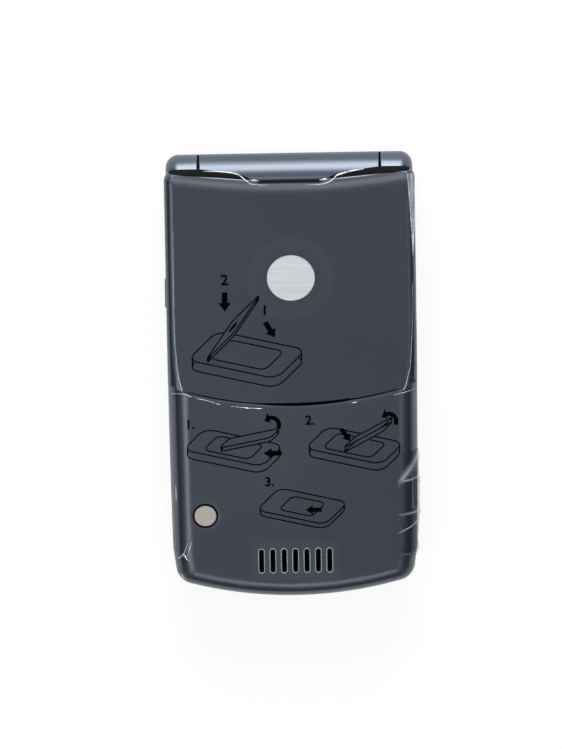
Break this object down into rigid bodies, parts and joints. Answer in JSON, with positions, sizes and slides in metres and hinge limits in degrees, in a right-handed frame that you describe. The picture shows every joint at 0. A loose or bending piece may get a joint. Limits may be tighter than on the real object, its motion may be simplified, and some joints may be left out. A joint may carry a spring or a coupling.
{
  "type": "flip phone",
  "caption": "Slim clamshell phone, closed and face down: battery cover with round badge, sound slots in the lower housing, thick chin, barrel hinge, inner keypad and display.",
  "frame": {"origin": "centre of the closed phone's footprint, on the surface that the lid's outer face rests on", "axes": "+Z out of the back (battery cover up), +Y towards the hinge, -Y towards the chin, +X to the right seen from the back"},
  "size_m": [0.0536, 0.098, 0.0146],
  "materials": {
    "body_paint": "satin dark slate paint",
    "barrel_paint": "satin dark slate paint on metal",
    "badge_metal": "fine turned face",
    "clear_film": "clear glossy film",
    "black_plastic": "fine matte",
    "pale_rubber": "matte",
    "dark_rubber": "matte",
    "lens_clear": "polished",
    "display_glass": "gloss",
    "board_green": "solder resist",
    "steel": "brushed",
    "key_metal": "brushed, anodised",
    "frame_alloy": "die cast",
    "contact_gold": "plated",
    "battery_label": "label film",
    "cable_film": "polyimide",
    "card_white": "printed card"
  },
  "bodies": {
    "lid": {"lid_shell": "body_paint", "lid_bezel": "body_paint", "outer_lens": "lens_clear", "outer_display": "display_glass", "lid_board": "board_green", "main_display": "display_glass", "main_lens": "lens_clear", "camera_window": "lens_clear", "camera_module": "black_plastic", "earpiece": "steel", "lid_screws": "steel", "lid_bumpers": "dark_rubber", "hinge_barrel": "barrel_paint", "hinge_cartridge": "steel", "flat_cable": "cable_film"},
    "base": {"keypad_frame": "body_paint", "dome_sheet": "steel", "main_board": "board_green", "inner_frame": "frame_alloy", "rear_housing": "body_paint", "hinge_pins": "black_plastic", "battery": "battery_label", "battery_contacts": "contact_gold", "sim_holder": "steel", "sim_card": "card_white", "base_screws": "steel", "loudspeaker": "black_plastic", "microphone": "steel", "antenna": "contact_gold", "vibration_motor": "steel", "usb_socket": "steel", "lower_film": "clear_film"},
    "battery_cover": {"battery_cover": "body_paint", "badge": "badge_metal", "cover_film": "clear_film"},
    "cover_latch": {"cover_latch": "black_plastic"},
    "test_port_plug": {"test_port_plug": "pale_rubber"},
    "volume_rocker": {"volume_rocker": "body_paint"},
    "smart_key": {"smart_key": "body_paint"},
    "voice_key": {"voice_key": "body_paint"},
    "nav_pad": {"nav_pad": "dark_rubber"},
    "nav_ring": {"nav_ring": "key_metal"},
    "left_soft_key": {"left_soft_key": "key_metal"},
    "right_soft_key": {"right_soft_key": "key_metal"},
    "send_key": {"send_key": "key_metal"},
    "end_key": {"end_key": "key_metal"},
    "clear_key": {"clear_key": "key_metal"},
    "select_key": {"select_key": "key_metal"},
    "key_1": {"key_1": "key_metal"},
    "key_2": {"key_2": "key_metal"},
    "key_3": {"key_3": "key_metal"},
    "key_4": {"key_4": "key_metal"},
    "key_5": {"key_5": "key_metal"},
    "key_6": {"key_6": "key_metal"},
    "key_7": {"key_7": "key_metal"},
    "key_8": {"key_8": "key_metal"},
    "key_9": {"key_9": "key_metal"},
    "key_star": {"key_star": "key_metal"},
    "key_0": {"key_0": "key_metal"},
    "key_hash": {"key_hash": "key_metal"}
  },
  "joints": [
    {"name": "base_fold", "type": "hinge", "parent": "lid", "child": "base", "pos_m": [0, 0.044, 0.00725], "axis": [1, 0, 0], "range_deg": [-160, 0]},
    {"name": "battery_cover_lift", "type": "slide", "parent": "base", "child": "battery_cover", "axis": [0, 0, 1], "range_m": [0, 0.025]},
    {"name": "cover_latch_press", "type": "slide", "parent": "base", "child": "cover_latch", "axis": [0, -1, 0], "range_m": [0, 0.0008], "stiffness_N_per_m": 600, "springref_m": -0.0004},
    {"name": "test_port_plug_pull", "type": "slide", "parent": "base", "child": "test_port_plug", "axis": [0, 0, 1], "range_m": [0, 0.006]},
    {"name": "volume_rocker_tilt", "type": "hinge", "parent": "lid", "child": "volume_rocker", "pos_m": [0.0262, 0.02, 0.0029], "axis": [0, 0, 1], "range_deg": [-2, 2], "stiffness_Nm_per_rad": 0.03},
    {"name": "smart_key_press", "type": "slide", "parent": "lid", "child": "smart_key", "axis": [-1, 0, 0], "range_m": [0, 0.0003], "stiffness_N_per_m": 1500, "springref_m": -0.0002},
    {"name": "voice_key_press", "type": "slide", "parent": "lid", "child": "voice_key", "axis": [1, 0, 0], "range_m": [0, 0.0003], "stiffness_N_per_m": 1500, "springref_m": -0.0002},
    {"name": "nav_pad_rock", "type": "hinge", "parent": "base", "child": "nav_pad", "pos_m": [0, 0.0236, 0.0077], "axis": [1, 0, 0], "range_deg": [-1.2, 1.2], "stiffness_Nm_per_rad": 0.05},
    {"name": "nav_ring_rock", "type": "hinge", "parent": "nav_pad", "child": "nav_ring", "pos_m": [0, 0.0236, 0.0077], "axis": [0, 1, 0], "range_deg": [-1.2, 1.2], "stiffness_Nm_per_rad": 0.05},
    {"name": "left_soft_key_press", "type": "slide", "parent": "base", "child": "left_soft_key", "axis": [0, 0, 1], "range_m": [0, 0.00022], "stiffness_N_per_m": 1500, "springref_m": -0.0002},
    {"name": "right_soft_key_press", "type": "slide", "parent": "base", "child": "right_soft_key", "axis": [0, 0, 1], "range_m": [0, 0.00022], "stiffness_N_per_m": 1500, "springref_m": -0.0002},
    {"name": "send_key_press", "type": "slide", "parent": "base", "child": "send_key", "axis": [0, 0, 1], "range_m": [0, 0.00022], "stiffness_N_per_m": 1500, "springref_m": -0.0002},
    {"name": "end_key_press", "type": "slide", "parent": "base", "child": "end_key", "axis": [0, 0, 1], "range_m": [0, 0.00022], "stiffness_N_per_m": 1500, "springref_m": -0.0002},
    {"name": "clear_key_press", "type": "slide", "parent": "base", "child": "clear_key", "axis": [0, 0, 1], "range_m": [0, 0.00022], "stiffness_N_per_m": 1500, "springref_m": -0.0002},
    {"name": "select_key_press", "type": "slide", "parent": "base", "child": "select_key", "axis": [0, 0, 1], "range_m": [0, 0.00022], "stiffness_N_per_m": 1500, "springref_m": -0.0002},
    {"name": "key_1_press", "type": "slide", "parent": "base", "child": "key_1", "axis": [0, 0, 1], "range_m": [0, 0.00022], "stiffness_N_per_m": 1500, "springref_m": -0.0002},
    {"name": "key_2_press", "type": "slide", "parent": "base", "child": "key_2", "axis": [0, 0, 1], "range_m": [0, 0.00022], "stiffness_N_per_m": 1500, "springref_m": -0.0002},
    {"name": "key_3_press", "type": "slide", "parent": "base", "child": "key_3", "axis": [0, 0, 1], "range_m": [0, 0.00022], "stiffness_N_per_m": 1500, "springref_m": -0.0002},
    {"name": "key_4_press", "type": "slide", "parent": "base", "child": "key_4", "axis": [0, 0, 1], "range_m": [0, 0.00022], "stiffness_N_per_m": 1500, "springref_m": -0.0002},
    {"name": "key_5_press", "type": "slide", "parent": "base", "child": "key_5", "axis": [0, 0, 1], "range_m": [0, 0.00022], "stiffness_N_per_m": 1500, "springref_m": -0.0002},
    {"name": "key_6_press", "type": "slide", "parent": "base", "child": "key_6", "axis": [0, 0, 1], "range_m": [0, 0.00022], "stiffness_N_per_m": 1500, "springref_m": -0.0002},
    {"name": "key_7_press", "type": "slide", "parent": "base", "child": "key_7", "axis": [0, 0, 1], "range_m": [0, 0.00022], "stiffness_N_per_m": 1500, "springref_m": -0.0002},
    {"name": "key_8_press", "type": "slide", "parent": "base", "child": "key_8", "axis": [0, 0, 1], "range_m": [0, 0.00022], "stiffness_N_per_m": 1500, "springref_m": -0.0002},
    {"name": "key_9_press", "type": "slide", "parent": "base", "child": "key_9", "axis": [0, 0, 1], "range_m": [0, 0.00022], "stiffness_N_per_m": 1500, "springref_m": -0.0002},
    {"name": "key_star_press", "type": "slide", "parent": "base", "child": "key_star", "axis": [0, 0, 1], "range_m": [0, 0.00022], "stiffness_N_per_m": 1500, "springref_m": -0.0002},
    {"name": "key_0_press", "type": "slide", "parent": "base", "child": "key_0", "axis": [0, 0, 1], "range_m": [0, 0.00022], "stiffness_N_per_m": 1500, "springref_m": -0.0002},
    {"name": "key_hash_press", "type": "slide", "parent": "base", "child": "key_hash", "axis": [0, 0, 1], "range_m": [0, 0.00022], "stiffness_N_per_m": 1500, "springref_m": -0.0002}
  ]
}
